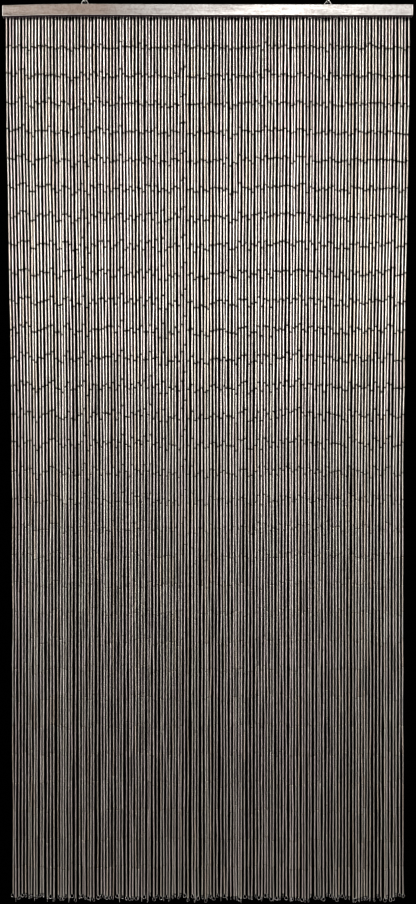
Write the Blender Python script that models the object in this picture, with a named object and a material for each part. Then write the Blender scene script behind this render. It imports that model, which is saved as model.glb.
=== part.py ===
"""A doorway bead curtain: strings of bamboo tubes under a wooden header bar.

The bar hangs by two bent wire loops from two hooks. X runs along the bar, -Y faces the viewer and +Z is up.
The origin lies midway between the tops of the two hooks. Every size is in metres.
"""

import math

import bmesh
import bpy
import numpy as np
from mathutils import Vector

# Header bar
BAR_LENGTH = 0.910
BAR_DEPTH = 0.020
BAR_HEIGHT = 0.024
BAR_EDGE = 0.0012
BAR_EDGE_STEPS = 2

# Strings of tubes
STRAND_COUNT = 125
FIELD_WIDTH = 0.893  # first string to last at the bar
DRAWN_IN = 0.030  # share of that width that the hanging field loses
DRAW_DEPTH = 1.10  # how far down the field goes on drawing in
TUBE_DIAMETER = 0.0047
TUBE_PITCH = 0.0628  # a tube and its link
TUBES_PER_STRAND = 31
FIRST_TUBE_DROP = 0.0057  # underside of the bar to the first tube
RING_HEIGHT = 0.0104
LENGTH_SPREAD = 0.0065
STRAND_LENGTH = FIRST_TUBE_DROP + TUBES_PER_STRAND * TUBE_PITCH + RING_HEIGHT

# How unevenly the strings hang
SWAY_SEED = 41
EYE_SPREAD = 0.00042  # the eyes are driven a little off their marks
SETTLE_SPREAD = 0.00050  # the first tubes settle a little to one side
SETTLE_DEPTH = 0.25
LEAN_SPREAD = 0.00090  # each string's own lean at its foot
BUNCH_SPREAD = 0.00130  # lean that neighbours share
BUNCH_REACH = 3  # neighbours on each side that lean together
LEAN_GROWTH = 1.5  # power by which a lean grows on the way down
MOST_SIGMA = 2.2
CLEAR_DISTANCE = 0.0053  # centre to centre of strings that touch nowhere

# Levels below the strip at which the solid strings bend, as shares of their length
LEVELS = (0.13, 0.32, 0.48, 0.74, 1.0)

# Backing strip, where the row of small wire eyes sits
STRIP_HEIGHT = 0.0030
STRIP_DEPTH = 0.0060

# Hanging loops of bent wire, one row each
LOOP_WIRE = 0.0010
LOOP_SINK = 0.010
FOOT_BEND = 0.003
LOOPS = (
    {"name": "left", "x": -0.273, "half_width": 0.0083, "crown": 0.0070, "lean": 15.0, "hook_turn": 4.0},
    {"name": "right", "x": 0.267, "half_width": 0.0090, "crown": 0.0040, "lean": 34.0, "hook_turn": 25.0},
)
LOOP_HOLE = 0.00138
HOLE_EXTRA = 0.0006

# Hooks that the loops hang on
HOOK_WIRE = 0.0015
HOOK_BEND = 0.0065
HOOK_RELEASE = 120.0  # degrees from the bottom of the bend up to the tip
HOOK_SWEEP = 255.0
HOOK_NECK_TURN = 45.0
NECK_BEND = 0.005
HOOK_HEIGHT = 0.024  # centre of the bend to the top of the shank

# Gap that keeps touching pieces apart
GAP = 0.0003
HANG_GAP = 0.00035

WIRE_ROUNDNESS = 3  # bevel resolution, which gives ten sides
ARC_STEP = 18.0  # degrees of a bend between two points
HOLE_SIDES = 12


def clear_scene():
    for thing in list(bpy.data.objects):
        bpy.data.objects.remove(thing, do_unlink=True)


def finish(name, colour, roughness, metallic):
    """A Principled material of one colour."""
    made = bpy.data.materials.new(name)
    made.use_nodes = True
    shader = made.node_tree.nodes["Principled BSDF"]
    shader.inputs["Base Color"].default_value = (*colour, 1.0)
    shader.inputs["Roughness"].default_value = roughness
    shader.inputs["Metallic"].default_value = metallic
    return made


def place(name, data, material):
    """Links an object of this mesh or curve and gives it its material."""
    data.materials.append(material)
    made = bpy.data.objects.new(name, data)
    bpy.context.scene.collection.objects.link(made)
    return made


def smooth(share):
    """Eases from 0 to 1."""
    t = np.clip(share, 0.0, 1.0)
    return t * t * (3.0 - 2.0 * t)


def spread(random, count, size):
    """Normal scatter without far outliers."""
    return np.clip(random.normal(0.0, 1.0, count), -MOST_SIGMA, MOST_SIGMA) * size


def shared_lean(random):
    """Lean that runs in bunches, because neighbouring strings push each other aside."""
    raw = random.normal(0.0, 1.0, STRAND_COUNT + 2 * BUNCH_REACH)
    window = np.hanning(2 * BUNCH_REACH + 3)[1:-1]
    drawn = np.convolve(raw, window / np.linalg.norm(window), mode="valid")
    return np.clip(drawn, -MOST_SIGMA, MOST_SIGMA) * BUNCH_SPREAD


def strand_layout():
    """Each string's own numbers: its eye, settling, lean and length."""
    random = np.random.default_rng(SWAY_SEED)
    even = np.linspace(-0.5, 0.5, STRAND_COUNT) * FIELD_WIDTH
    eye = even + spread(random, STRAND_COUNT, EYE_SPREAD)
    settle = spread(random, STRAND_COUNT, SETTLE_SPREAD)
    lean = spread(random, STRAND_COUNT, LEAN_SPREAD) + shared_lean(random)
    length = STRAND_LENGTH + random.uniform(-1.0, 1.0, STRAND_COUNT) * LENGTH_SPREAD
    return eye, settle, lean, length


def strand_places(depth, eye, settle, lean):
    """X and Y of every string at this depth below the bar.

    Where two strings come closer than their thickness, one hangs in front and the other behind.
    """
    settled = smooth(depth / SETTLE_DEPTH)
    x = eye * (1.0 - DRAWN_IN * smooth(depth / DRAW_DEPTH))
    x = x + settle * settled + lean * (depth / STRAND_LENGTH) ** LEAN_GROWTH
    aside = np.sqrt(np.maximum(CLEAR_DISTANCE**2 - np.diff(x) ** 2, 0.0)) / 2.0
    need = np.zeros(STRAND_COUNT)
    need[:-1] = aside
    need[1:] = np.maximum(need[1:], aside)
    way = np.where(np.arange(STRAND_COUNT) % 2 == 0, 1.0, -1.0)
    return x, way * need * settled


def diamond(shape, x, y, z, half):
    """Four corners of a string's section: front, right, back and left."""
    corners = ((x, y - half), (x + half, y), (x, y + half), (x - half, y))
    return [shape.verts.new((a, b, z)) for a, b in corners]


def strip_cells(shape, eye, high, low):
    """The backing strip as a row of cells, open where a string leaves each one. Returns the open rings."""
    middles = (eye[:-1] + eye[1:]) / 2.0
    pitch = FIELD_WIDTH / (STRAND_COUNT - 1)
    edges = [eye[0] - pitch / 2.0, *middles, eye[-1] + pitch / 2.0]
    half = STRIP_DEPTH / 2.0
    section = ((-half, low), (-half, high), (half, high), (half, low))
    walls = [[shape.verts.new((x, y, z)) for y, z in section] for x in edges]
    shape.faces.new(walls[0])
    shape.faces.new(walls[-1])
    roots = []
    for near, far, x in zip(walls[:-1], walls[1:], eye):
        for side in range(3):
            shape.faces.new((near[side], near[side + 1], far[side + 1], far[side]))
        root = diamond(shape, x, 0.0, low, TUBE_DIAMETER / 2.0)
        rim = (near[0], far[0], far[3], near[3])
        for side in range(4):
            turn = (side + 1) % 4
            shape.faces.new((rim[side], rim[turn], root[side]))
            shape.faces.new((rim[turn], root[turn], root[side]))
        roots.append(root)
    return roots


def make_strands(bar_under, material):
    """All strings as one solid: each four-sided, apart from the others but for its root in the strip."""
    eye, settle, lean, length = strand_layout()
    shape = bmesh.new()
    high = bar_under - GAP
    low = high - STRIP_HEIGHT
    rings = strip_cells(shape, eye, high, low)
    top = bar_under - low
    for level in LEVELS:
        depths = top + (length - top) * level
        x, y = strand_places(depths, eye, settle, lean)
        lower = [
            diamond(shape, x[k], y[k], bar_under - depths[k], TUBE_DIAMETER / 2.0)
            for k in range(STRAND_COUNT)
        ]
        for above, below in zip(rings, lower):
            for side in range(4):
                turn = (side + 1) % 4
                shape.faces.new((above[side], above[turn], below[turn], below[side]))
        rings = lower
    for ring in rings:
        shape.faces.new(ring)
    bmesh.ops.recalc_face_normals(shape, faces=shape.faces[:])
    mesh = bpy.data.meshes.new("strands")
    shape.to_mesh(mesh)
    shape.free()
    return place("strands", mesh, material)


def bend_wire(start, heading, steps):
    """The centreline of a bent wire in its own plane, from a start and a heading in degrees.

    Each step is a straight length, or a bend as (radius, degrees), where a positive bend turns left.
    """
    here = Vector(start)
    line = [here]
    for step in steps:
        along = math.radians(heading)
        if isinstance(step, tuple):
            radius, turn = step
            reach = math.copysign(radius, turn)
            centre = here + Vector((-math.sin(along), math.cos(along))) * reach
            pieces = max(1, round(abs(turn) / ARC_STEP))
            for k in range(1, pieces + 1):
                now = math.radians(heading + turn * k / pieces)
                line.append(centre + Vector((math.sin(now), -math.cos(now))) * reach)
            heading += turn
        else:
            line.append(here + Vector((math.cos(along), math.sin(along))) * step)
        here = line[-1]
    return line


def wire_object(name, points, radius, material):
    """A round wire with closed ends along these points."""
    curve = bpy.data.curves.new(name, "CURVE")
    curve.dimensions = "3D"
    curve.bevel_depth = radius
    curve.bevel_resolution = WIRE_ROUNDNESS
    curve.render_resolution_u = 0
    curve.use_fill_caps = True
    spline = curve.splines.new("POLY")
    spline.points.add(len(points) - 1)
    for knot, point in zip(spline.points, points):
        knot.co = (*point, 1.0)
    return place(name, curve, material)


def loop_side(row):
    """Straight length of a loop's leaning side, between its foot bend and its crown."""
    lean = math.radians(row["lean"])
    across = row["half_width"] - row["crown"] * math.cos(lean) - FOOT_BEND * (1.0 - math.cos(lean))
    return across / math.sin(lean)


def loop_rise(row):
    """Height of a loop's crown above the bar, on the wire's centreline."""
    lean = math.radians(row["lean"])
    straight = loop_side(row) * math.cos(lean) + FOOT_BEND * math.sin(lean)
    return GAP + straight + row["crown"] * (1.0 - math.sin(lean))


def hook_rise(row):
    """Height above the bar of the centre of a hook's bend, whose foot carries the loop's crown."""
    return loop_rise(row) - LOOP_WIRE - HANG_GAP - HOOK_WIRE + HOOK_BEND


def make_loop(row, bar_top, material):
    """A hanging loop: two legs in the bar, leaning sides and a round crown."""
    leg = LOOP_SINK + GAP
    side = loop_side(row)
    foot = (FOOT_BEND, -row["lean"])
    crown = (row["crown"], -(180.0 - 2.0 * row["lean"]))
    start = (row["x"] - row["half_width"], bar_top - LOOP_SINK)
    line = bend_wire(start, 90.0, (leg, foot, side, crown, side, foot, leg))
    return wire_object(f"hanger_{row['name']}", [(x, 0.0, z) for x, z in line], LOOP_WIRE, material)


def make_hook(row, bar_top, material):
    """A plain round hook: its tip, the bend under the loop's crown, the neck and the shank."""
    release = math.radians(HOOK_RELEASE)
    centre = bar_top + hook_rise(row)
    tip = (-HOOK_BEND * math.sin(release), centre - HOOK_BEND * math.cos(release))
    leave = math.radians(HOOK_SWEEP - HOOK_RELEASE)
    neck = math.radians(HOOK_NECK_TURN)
    slant = (HOOK_BEND * math.sin(leave) - NECK_BEND * (1.0 - math.cos(neck))) / math.sin(neck)
    steps = ((HOOK_BEND, HOOK_SWEEP), slant, (NECK_BEND, -HOOK_NECK_TURN))
    line = bend_wire(tip, -HOOK_RELEASE, steps)
    line.append(Vector((line[-1].x, 0.0)))
    turn = math.radians(row["hook_turn"])
    points = [(row["x"] + out * math.sin(turn), out * math.cos(turn), z) for out, z in line]
    return wire_object(f"hook_{row['name']}", points, HOOK_WIRE, material)


def drill(bar, x, bar_top):
    """A hole in the bar's top for one leg of a loop."""
    depth = LOOP_SINK + HOLE_EXTRA
    cutter = bmesh.new()
    bmesh.ops.create_cone(
        cutter, cap_ends=True, segments=HOLE_SIDES, radius1=LOOP_HOLE, radius2=LOOP_HOLE, depth=2.0 * depth
    )
    mesh = bpy.data.meshes.new("leg_hole")
    cutter.to_mesh(mesh)
    cutter.free()
    tool = bpy.data.objects.new("leg_hole", mesh)
    tool.location = (x, 0.0, bar_top)
    tool.hide_render = True
    tool.display_type = "WIRE"
    bpy.context.scene.collection.objects.link(tool)
    cut = bar.modifiers.new("leg_hole", "BOOLEAN")
    cut.operation = "DIFFERENCE"
    cut.solver = "EXACT"
    cut.object = tool


def make_bar(bar_top, material):
    """The wooden bar with eased edges and four holes for the loops' legs."""
    shape = bmesh.new()
    bmesh.ops.create_cube(shape, size=1.0)
    bmesh.ops.scale(shape, vec=(BAR_LENGTH, BAR_DEPTH, BAR_HEIGHT), verts=shape.verts)
    bmesh.ops.translate(shape, vec=(0.0, 0.0, bar_top - BAR_HEIGHT / 2.0), verts=shape.verts)
    mesh = bpy.data.meshes.new("header_bar")
    shape.to_mesh(mesh)
    shape.free()
    bar = place("header_bar", mesh, material)
    eased = bar.modifiers.new("eased_edges", "BEVEL")
    eased.width = BAR_EDGE
    eased.segments = BAR_EDGE_STEPS
    for row in LOOPS:
        for side in (-1.0, 1.0):
            drill(bar, row["x"] + side * row["half_width"], bar_top)
    return bar


def main():
    clear_scene()
    bar_wood = finish("bar_wood", (0.42, 0.37, 0.33), 0.42, 0.0)
    bamboo = finish("bamboo", (0.62, 0.56, 0.50), 0.38, 0.0)
    wire = finish("wire", (0.62, 0.61, 0.60), 0.30, 1.0)
    bar_top = -HOOK_HEIGHT - hook_rise(LOOPS[0])
    make_bar(bar_top, bar_wood)
    make_strands(bar_top - BAR_HEIGHT, bamboo)
    for row in LOOPS:
        make_loop(row, bar_top, wire)
        make_hook(row, bar_top, wire)


main()
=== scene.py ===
"""Looks of the doorway bead curtain: bamboo tubes on wire links under a lacquered bar, on two hooks.

X runs along the bar, -Y faces the viewer and +Z is up. Every size is in metres, as in the part's source.
"""

import math

import bmesh
import bpy
import numpy as np
from mathutils import Matrix, Vector


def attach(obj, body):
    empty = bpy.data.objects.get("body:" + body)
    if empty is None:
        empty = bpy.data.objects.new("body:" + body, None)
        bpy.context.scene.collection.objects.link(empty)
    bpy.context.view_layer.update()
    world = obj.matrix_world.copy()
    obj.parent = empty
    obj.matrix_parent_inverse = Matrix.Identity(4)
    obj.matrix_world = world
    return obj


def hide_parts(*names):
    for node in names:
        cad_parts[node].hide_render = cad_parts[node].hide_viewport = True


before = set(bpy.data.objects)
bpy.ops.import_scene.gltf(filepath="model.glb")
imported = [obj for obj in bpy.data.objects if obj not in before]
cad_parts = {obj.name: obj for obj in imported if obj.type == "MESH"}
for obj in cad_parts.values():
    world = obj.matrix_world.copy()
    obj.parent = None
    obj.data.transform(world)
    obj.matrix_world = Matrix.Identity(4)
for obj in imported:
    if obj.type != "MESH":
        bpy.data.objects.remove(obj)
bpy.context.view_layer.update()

# Header bar
BAR_LENGTH = 0.910
BAR_DEPTH = 0.020
BAR_HEIGHT = 0.024
BAR_EDGE = 0.0012  # rounding of its edges
BAR_EDGE_STEPS = 4
BAR_STATIONS = 64  # short lengths that follow the warp
# Height of the bar's slight warp at places along it
BAR_WARP = (
    {"x": -0.455, "lift": -0.0024},
    {"x": -0.375, "lift": -0.0002},
    {"x": -0.290, "lift": 0.0010},
    {"x": -0.180, "lift": 0.0004},
    {"x": -0.080, "lift": 0.0000},
    {"x": 0.455, "lift": -0.0003},
)

# Lacquer of the bar, which has kept more brown at the left end, most of all round one place
BROWNEST = -0.256
BROWN_FADES = (0.03, 0.20)  # distances from the brownest place between which its depth is lost
BROWN_DEPTH = 0.36
BROWN_END = -0.150
BROWN_BLEND = 0.04  # half the length over which brown turns to grey
BROWN_RAGGED = 0.12
BAR_FINENESS = (14.0, 210.0, 210.0)
BAR_LINES = 0.80
BAR_BROWN = {"deep": (0.100, 0.066, 0.049), "pale": (0.340, 0.276, 0.238), "line": (0.450, 0.400, 0.362)}
BAR_GREY = {"deep": (0.284, 0.268, 0.258), "pale": (0.447, 0.437, 0.427), "line": (0.499, 0.492, 0.483)}
BLOTCH = (0.270, 0.235, 0.215)
BLOTCH_DEPTH = 0.50
FLECK = (0.72, 0.70, 0.68)
FLECK_DEPTH = 0.22
DEEP_BROWN = (0.110, 0.066, 0.044)
# Pale colour of the bar's rubbed edges: real wear, and also a painted highlight along the rounded edges
BARE_EDGE_AND_HIGHLIGHT = (0.95, 0.93, 0.89)
# Painted shade: a dark colour on the bar's underside that stands in for the shadow under the bar
UNDERSIDE_PAINTED_SHADE = (0.080, 0.054, 0.064)
BAR_SHINE = (0.10, 0.30)  # metal sheen of the brown end and of the grey rest
SHINE_BLEND = (0.05, 0.25)  # how far left and right of the brown's end the sheen changes

# Strings of tubes, as the solid strings hang
STRAND_COUNT = 125
FIELD_WIDTH = 0.893  # first string to last at the bar
DRAWN_IN = 0.030  # share of that width that the hanging field loses
DRAW_DEPTH = 1.10
TUBE_DIAMETER = 0.0040
TUBE_PITCH = 0.0628  # a tube and its link
TUBES_PER_STRAND = 31
FIRST_TUBE_DROP = 0.0057  # underside of the bar to the first tube
RING_HEIGHT = 0.0104
LENGTH_SPREAD = 0.0065
STRAND_LENGTH = FIRST_TUBE_DROP + TUBES_PER_STRAND * TUBE_PITCH + RING_HEIGHT
SWAY_SEED = 41
EYE_SPREAD = 0.00042  # the eyes are driven a little off their marks
SETTLE_SPREAD = 0.00050
SETTLE_DEPTH = 0.25
LEAN_SPREAD = 0.00090  # each string's own lean at its foot
BUNCH_SPREAD = 0.00130  # lean that neighbours share
BUNCH_REACH = 3  # neighbours on each side that lean together
LEAN_GROWTH = 1.5  # power by which a lean grows on the way down
MOST_SIGMA = 2.2
CLEAR_DISTANCE = 0.0053  # least distance between the middles of neighbouring strings

# How the tubes differ on their strings
TUBE_SEED = 7
TUBE_GAP = 0.0026  # between the ends of two linked tubes, where the weight below draws them apart
FOOT_GAP = 0.0012
GAP_CLOSES = (0.80, 1.20)  # depths between which the gaps close up
TOP_SLACK = 0.0024  # how unevenly the first tubes hang below the bar
CUT_SPREAD = 0.0027  # tubes are cut by hand to slightly different lengths
SHORT_SHARE = 0.012
SHORT_BY = 0.013
KINK_SPREAD = 0.00036  # sideways step from tube to tube
PUSHED_EVEN = 0.22  # how far neighbouring strings push each other to even steps
EDGE_PUSHED = 0.80
PUSH_DEPTH = 0.30
PUSH_LOST = 0.4  # share of that push that is lost at the foot
STRING_GIRTH_SPREAD = 0.027
TUBE_GIRTH_SPREAD = 0.036
GIRTH_FALL = 0.10  # the upper tubes are a little stouter than the lower ones
CLEAR_LEVELS = 260

# One tube
TUBE_SIDES = 8
BORE_DIAMETER = 0.0024
RIM_EASE = 0.0003
RIM_LENGTH = 0.00065
STRAIGHT_FROM = 0.0016  # past the rim, a ring of points from which the wall's shading is straight
BORE_DEPTH = 0.0030
# Rings of points on a tube's lower half. The upper half has the same in the other order
# hollow is how much painted shade a ring gets inside the bore
HALF_TUBE = (
    {"height": "bore's end", "radius": "centre", "map": 0.00, "along": 1.00, "hollow": 1.00},
    {"height": "end", "radius": "bore", "map": 0.05, "along": 1.00, "hollow": 0.35},
    {"height": "end", "radius": "rim", "map": 0.11, "along": 1.00, "hollow": 0.00},
    {"height": "shoulder", "radius": "wall", "map": 0.15, "along": 0.97, "hollow": 0.00},
    {"height": "straight", "radius": "wall", "map": 0.17, "along": 0.92, "hollow": 0.00},
)
WALL_REACH = 1.4  # faces within this many rings of the tube's middle are its wall
WELD = 1e-6

# Tones and tints of the bamboo's lacquer, from string to string and from tube to tube
TONE = {"middle": 0.70, "string": 0.10, "tube": 0.10}
TINT = {"middle": 0.45, "string": 0.22, "tube": 0.18}
DARK_SHARE = 0.02
DARK_BY = 0.35
BAMBOO_FINENESS = (900.0, 900.0, 20.0)
BAMBOO_DEEP = (0.54, 0.520, 0.506)
BAMBOO_PALE = (0.72, 0.697, 0.677)
BAMBOO_STREAK = (0.62, 0.585, 0.552)
BAMBOO_SHADES = (0.50, 1.20)
BARE_RIM = (0.84, 0.75, 0.64)
# Painted shade inside the tubes' bores
BORE_PAINTED_SHADE = (0.02, 0.015, 0.012)
BAMBOO_TINTS = (
    {"at": 0.00, "colour": (1.00, 0.962, 0.962)},
    {"at": 0.40, "colour": (1.00, 0.985, 0.965)},
    {"at": 0.70, "colour": (0.955, 0.97, 0.92)},
    {"at": 1.00, "colour": (1.00, 0.945, 0.865)},
)

# Wire links, eyes and foot rings
EYE_DIAMETER = 0.0017
EYE_WIRE = 0.0006
EYE_SIDES = 7
EYE_WIRE_SIDES = 3
END_EYE_POINTS = 10
SCREW_EYE_DIAMETER = 0.0024
SCREW_EYE_POINTS = 11
SCREW_EYE_START = 0.12  # the eye starts this far round from its top
SCREW_NECK = 1.35  # height of the shank's foot above the eye's centre, in radii
SCREW_WIRE = 0.0007
SCREW_SINK = 0.0025
EYE_TURN_SPREAD = 0.35
RING_WIRE = 0.0010
RING_WIDTH = 0.0086
RING_BULGE = 0.60
RING_POINTS = 16
RING_SWING_SPREAD = 0.16
RING_SEED = 23

# Pieces that the strings are shared out over
STRANDS_PER_PIECE = 25

# Hanging loops and hooks of bent wire. Angles are in degrees
LOOP_WIRE = 0.0010  # radius
LOOP_SINK = 0.010  # depth of the legs in the bar
FOOT_BEND = 0.003
LOOPS = (
    {"name": "left", "x": -0.273, "half_width": 0.0083, "crown": 0.0070, "lean": 15.0, "hook_turn": 4.0},
    {"name": "right", "x": 0.267, "half_width": 0.0090, "crown": 0.0040, "lean": 34.0, "hook_turn": 25.0},
)
HOOK_WIRE = 0.0015  # radius
HOOK_BEND = 0.0065
HOOK_RELEASE = 120.0
HOOK_SWEEP = 255.0
HOOK_NECK_TURN = 45.0
NECK_BEND = 0.005
HOOK_HEIGHT = 0.024
GAP = 0.0003
HANG_GAP = 0.00035
ARC_STEP = 7.0  # between two points of a bend
WIRE_SIDES = 14

# Steel wires: colour where bright, roughness where bright and where dulled, and size of the dull patches
STEELS = {
    "link_steel": {"colour": (0.74, 0.72, 0.68), "bright": 0.28, "dull": 0.42, "patch": 0.003},
    "hanger_steel": {"colour": (0.86, 0.85, 0.83), "bright": 0.30, "dull": 0.44, "patch": 0.004},
    "ring_steel": {"colour": (0.92, 0.91, 0.89), "bright": 0.16, "dull": 0.28, "patch": 0.003},
}
DULLED = 0.55

# Camera and studio
CAMERA_AWAY = 3.0
CAMERA_ASIDE = 0.0007
CAMERA_BELOW_BAR = 0.9919
CAMERA_LENS = 53.78
SENSOR = 36.0
FLOOR_LEVEL = -2.35
FLOOR_HALF_WIDTH = 1.6
FLOOR_DEPTH = (-2.4, 0.8)
FLOOR_TONES = ((0.58, 0.57, 0.56), (0.66, 0.65, 0.64))
# Soft front lights in a plane before the curtain, with their power in watts
FRONT_LIGHT_AWAY = 1.9
FRONT_LIGHT_HIGH = 0.5
WARM_WHITE = (1.0, 0.982, 0.968)
FRONT_LIGHTS = (
    {"x": -1.60, "z": 0.55, "wide": 0.4, "power": 12.6},
    {"x": 0.32, "z": 0.57, "wide": 0.4, "power": 9.0},
    {"x": 0.03, "z": 0.05, "wide": 2.2, "power": 6.2},
    {"x": 0.03, "z": -0.45, "wide": 2.0, "power": 14.2},
    {"x": 0.03, "z": -0.95, "wide": 1.3, "power": 5.2},
    {"x": 0.03, "z": -1.45, "wide": 0.8, "power": 5.0},
    {"x": 0.03, "z": -2.06, "wide": 0.7, "power": 3.1},
)
# Fill lights at the sides and behind
SIDE_LIGHT = {"x": 2.6, "y": -0.6, "z": -0.4, "aim": -1.0, "size": (1.0, 1.6), "power": 5.0}
BACK_LIGHT_X = 0.4
BACK_LIGHT_AWAY = 3.0
BACK_LIGHTS = (
    {"name": "high", "z": 0.2, "aim": 0.0, "size": (0.6, 0.9), "power": 20.0},
    {"name": "low", "z": -1.95, "aim": -1.9, "size": (0.6, 0.6), "power": 9.0},
)


# Layout of the strings


def smooth(share):
    """Eases from 0 to 1."""
    t = np.clip(share, 0.0, 1.0)
    return t * t * (3.0 - 2.0 * t)


def spread(random, count, size):
    """Normal scatter without far outliers."""
    return np.clip(random.normal(0.0, 1.0, count), -MOST_SIGMA, MOST_SIGMA) * size


def shared_lean(random):
    """Lean that runs in bunches, because neighbouring strings push each other aside."""
    raw = random.normal(0.0, 1.0, STRAND_COUNT + 2 * BUNCH_REACH)
    window = np.hanning(2 * BUNCH_REACH + 3)[1:-1]
    drawn = np.convolve(raw, window / np.linalg.norm(window), mode="valid")
    return np.clip(drawn, -MOST_SIGMA, MOST_SIGMA) * BUNCH_SPREAD


def strand_layout():
    """Each string's own numbers: its eye, settling, lean and length."""
    random = np.random.default_rng(SWAY_SEED)
    even = np.linspace(-0.5, 0.5, STRAND_COUNT) * FIELD_WIDTH
    eye = even + spread(random, STRAND_COUNT, EYE_SPREAD)
    settle = spread(random, STRAND_COUNT, SETTLE_SPREAD)
    lean = spread(random, STRAND_COUNT, LEAN_SPREAD) + shared_lean(random)
    length = STRAND_LENGTH + random.uniform(-1.0, 1.0, STRAND_COUNT) * LENGTH_SPREAD
    return eye, settle, lean, length


def strand_across(depth, eye, settle, lean):
    """X of the strings at a depth below the bar."""
    x = eye * (1.0 - DRAWN_IN * smooth(depth / DRAW_DEPTH))
    return x + settle * smooth(depth / SETTLE_DEPTH) + lean * (depth / STRAND_LENGTH) ** LEAN_GROWTH


def push_even(x, depth):
    """Neighbouring strings push each other to even steps below their tops. The outermost hang straight."""
    share = depth / STRAND_LENGTH
    even = np.linspace(-0.5, 0.5, STRAND_COUNT)[:, None] * FIELD_WIDTH
    off = x - even * (1.0 - DRAWN_IN * smooth(depth / DRAW_DEPTH))
    still = np.zeros_like(off[:1])
    beside = (np.concatenate((still, off[:-1])) + np.concatenate((off[1:], still))) / 2.0
    push = np.full((STRAND_COUNT, 1), PUSHED_EVEN)
    push[[0, -1]] = EDGE_PUSHED
    return x + (beside - off) * push * smooth(depth / PUSH_DEPTH) * (1.0 - PUSH_LOST * share**4)


def joint_depths(random, length):
    """Depth of every joint: even steps, put off a little by tubes cut long or short."""
    top = FIRST_TUBE_DROP + np.abs(spread(random, STRAND_COUNT, TOP_SLACK)) - TUBE_GAP / 2.0
    foot = length - RING_HEIGHT + TUBE_GAP / 2.0
    cut = random.normal(0.0, CUT_SPREAD, (STRAND_COUNT, TUBES_PER_STRAND))
    cut -= SHORT_BY * (random.random((STRAND_COUNT, TUBES_PER_STRAND)) < SHORT_SHARE)
    walk = np.concatenate((np.zeros((STRAND_COUNT, 1)), np.cumsum(cut, axis=1)), axis=1)
    share = np.linspace(0.0, 1.0, TUBES_PER_STRAND + 1)
    walk -= share * walk[:, -1:]
    return top[:, None] + (foot - top)[:, None] * share + walk


def stand_clear(depth, x):
    """Y of every joint: where two strings come close, one hangs in front and the other behind."""
    levels = np.linspace(0.0, depth.max(), CLEAR_LEVELS)
    path = np.array([np.interp(levels, d, row) for d, row in zip(depth, x)])
    aside = np.sqrt(np.maximum(CLEAR_DISTANCE**2 - np.diff(path, axis=0) ** 2, 0.0)) / 2.0
    need = np.zeros_like(path)
    need[:-1] = aside
    need[1:] = np.maximum(need[1:], aside)
    reach = int(TUBE_PITCH / levels[1]) + 1
    wide = np.array([need[:, max(0, k - reach) : k + reach + 1].max(axis=1) for k in range(CLEAR_LEVELS)]).T
    way = np.where(np.arange(STRAND_COUNT) % 2 == 0, 1.0, -1.0)
    y = np.array([np.interp(d, levels, row) for d, row in zip(depth, wide)])
    return way[:, None] * y * smooth(depth / SETTLE_DEPTH)


def joints_of_strings():
    """Places of all joints, as an array of string by joint by x, y and depth."""
    eye, settle, lean, length = strand_layout()
    random = np.random.default_rng(TUBE_SEED)
    depth = joint_depths(random, length)
    x = strand_across(depth, eye[:, None], settle[:, None], lean[:, None])
    kink = spread(random, depth.shape, KINK_SPREAD)
    x = push_even(x, depth) + kink * smooth(depth / TUBE_PITCH)
    return np.stack((x, stand_clear(depth, x), depth), axis=2)


# Meshes and objects


def link(name, mesh):
    made = bpy.data.objects.new(name, mesh)
    bpy.context.scene.collection.objects.link(made)
    return made


def point_cloud(name, places, **values):
    """A mesh of loose points with a named value or vector at each."""
    mesh = bpy.data.meshes.new(name)
    mesh.vertices.add(len(places))
    mesh.vertices.foreach_set("co", np.ravel(places))
    for label, numbers in values.items():
        kind, key = ("FLOAT", "value") if numbers.ndim == 1 else ("FLOAT_VECTOR", "vector")
        layer = mesh.attributes.new(label, kind, "POINT")
        layer.data.foreach_set(key, np.ravel(numbers))
    return mesh


def wire_paths(name, lines, closed):
    """A mesh of edges that follow these lines."""
    points = [tuple(p) for line in lines for p in line]
    edges = []
    start = 0
    for line in lines:
        last = len(line) if closed else len(line) - 1
        edges += [(start + k, start + (k + 1) % len(line)) for k in range(last)]
        start += len(line)
    mesh = bpy.data.meshes.new(name)
    mesh.from_pydata(points, edges, [])
    return mesh


# Geometry Nodes


def node(tree, kind, feed=None, **settings):
    """Adds a node, sets it up, and feeds its inputs with values or other nodes' outputs."""
    made = tree.nodes.new(kind)
    for name, value in settings.items():
        setattr(made, name, value)
    for socket, value in (feed or {}).items():
        if isinstance(value, bpy.types.NodeSocket):
            tree.links.new(value, made.inputs[socket])
        else:
            made.inputs[socket].default_value = value
    return made


def maths(tree, operation, *values):
    return node(tree, "ShaderNodeMath", dict(enumerate(values)), operation=operation).outputs[0]


def vector_maths(tree, operation, *values):
    return node(tree, "ShaderNodeVectorMath", dict(enumerate(values)), operation=operation).outputs[0]


def triple(tree, x, y, z=0.0):
    return node(tree, "ShaderNodeCombineXYZ", {0: x, 1: y, 2: z}).outputs[0]


def new_tree(name, inputs):
    """A Geometry Nodes tree with these named inputs."""
    tree = bpy.data.node_groups.new(name, "GeometryNodeTree")
    tree.interface.new_socket("Geometry", in_out="INPUT", socket_type="NodeSocketGeometry")
    for label, kind in inputs:
        tree.interface.new_socket(label, in_out="INPUT", socket_type=f"NodeSocket{kind}")
    tree.interface.new_socket("Geometry", in_out="OUTPUT", socket_type="NodeSocketGeometry")
    return tree, tree.nodes.new("NodeGroupInput").outputs


def close_tree(tree, geometry, material):
    """Ends a tree: realizes what it placed and sets its material."""
    real = node(tree, "GeometryNodeRealizeInstances", {"Geometry": geometry}).outputs[0]
    worn = node(tree, "GeometryNodeSetMaterial", {"Geometry": real, "Material": material}).outputs[0]
    tree.links.new(worn, tree.nodes.new("NodeGroupOutput").inputs[0])


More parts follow.
